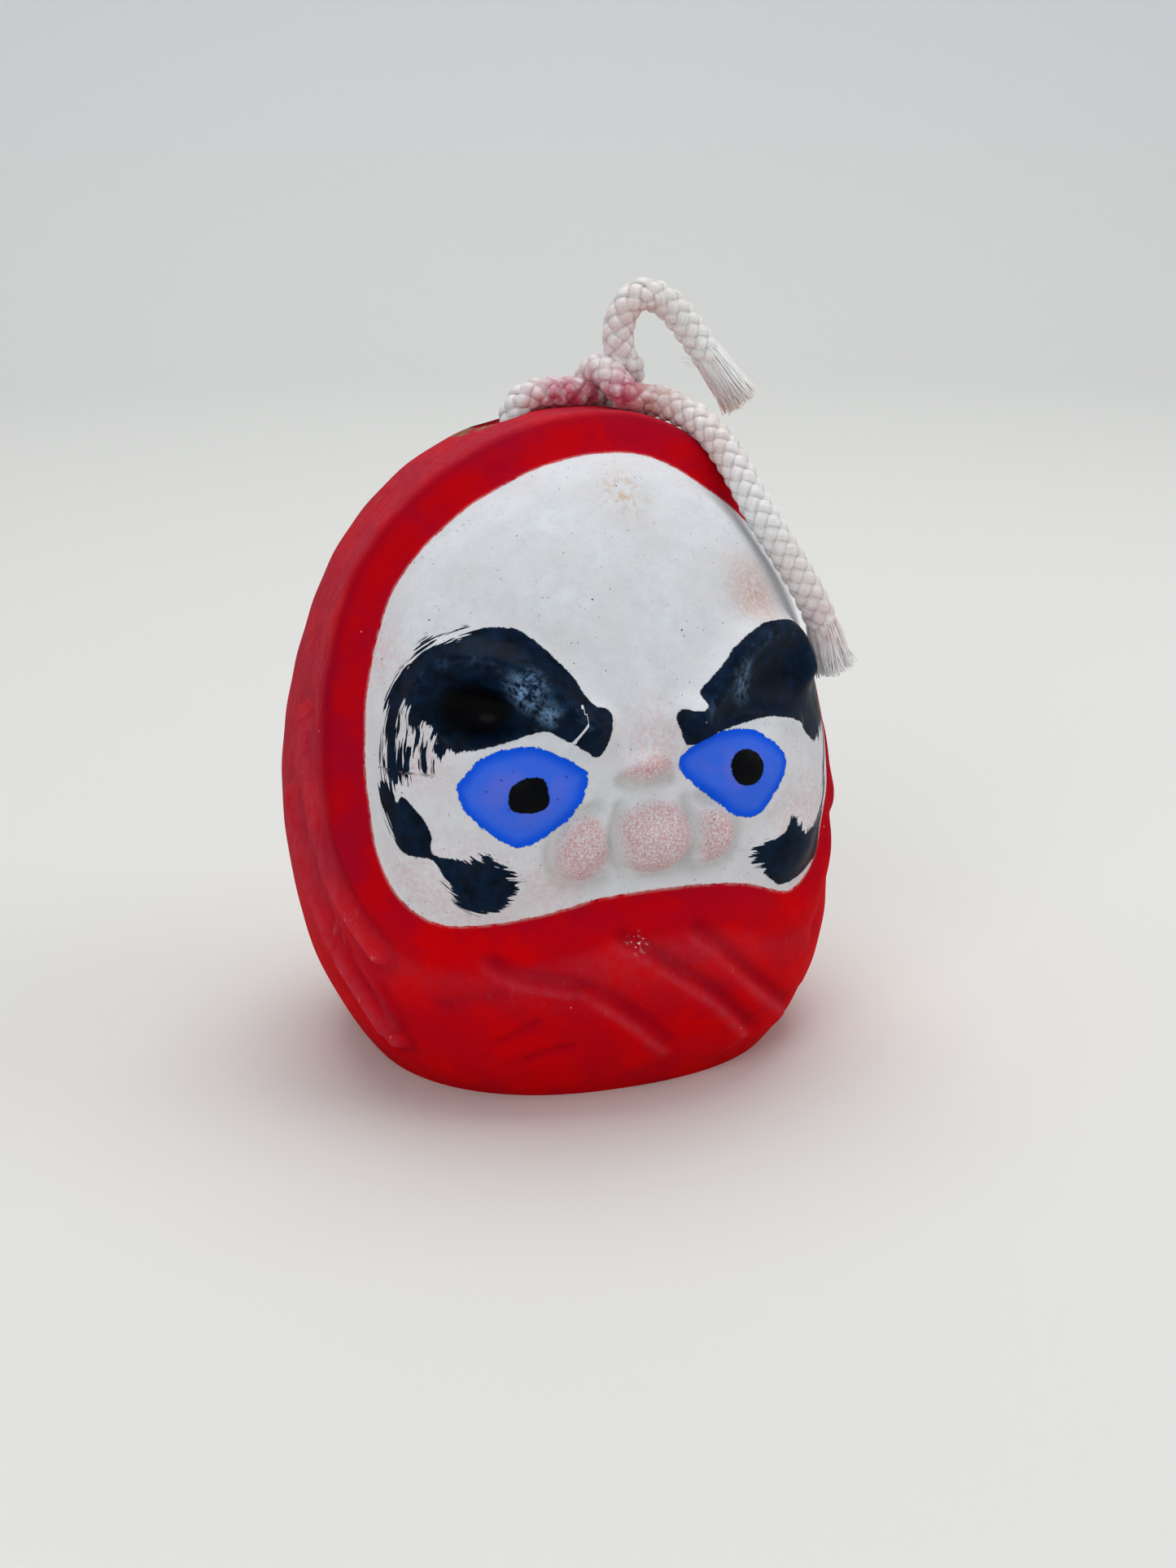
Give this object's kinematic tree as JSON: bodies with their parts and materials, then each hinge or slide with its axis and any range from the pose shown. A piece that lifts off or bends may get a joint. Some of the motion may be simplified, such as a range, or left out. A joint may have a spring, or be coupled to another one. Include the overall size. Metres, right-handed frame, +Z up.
{
  "type": "daruma clay bell",
  "caption": "Small hollow clay daruma bell with a white face and red hood, a loose clay pellet inside and a knotted braided cord through its crown.",
  "frame": {"origin": "middle of the flat foot, on the surface that the bell stands on", "axes": "+Z up through the crown, the face looks along -Y, +X towards the doll's left ear"},
  "size_m": [0.052, 0.0488, 0.0702],
  "materials": {
    "painted_clay": "matte",
    "bare_clay": "matte",
    "braided_cord": "satin"
  },
  "bodies": {
    "bell": {"front_half": "painted_clay", "back_half": "painted_clay", "cord_knot": "braided_cord", "cord_under_bridge": "braided_cord", "cord_left_leg": "braided_cord", "cord_right_leg": "braided_cord", "cord_tail_up": "braided_cord", "cord_tail_down": "braided_cord", "cord_fray_up": "braided_cord", "cord_fray_down": "braided_cord"},
    "rolling_pellet": {"pellet": "bare_clay"}
  },
  "joints": [
    {"name": "pellet_roll", "type": "hinge", "parent": "bell", "child": "rolling_pellet", "pos_m": [0, 0, 0.0231], "axis": [0, 1, 0], "range_deg": [-75, 75]}
  ]
}
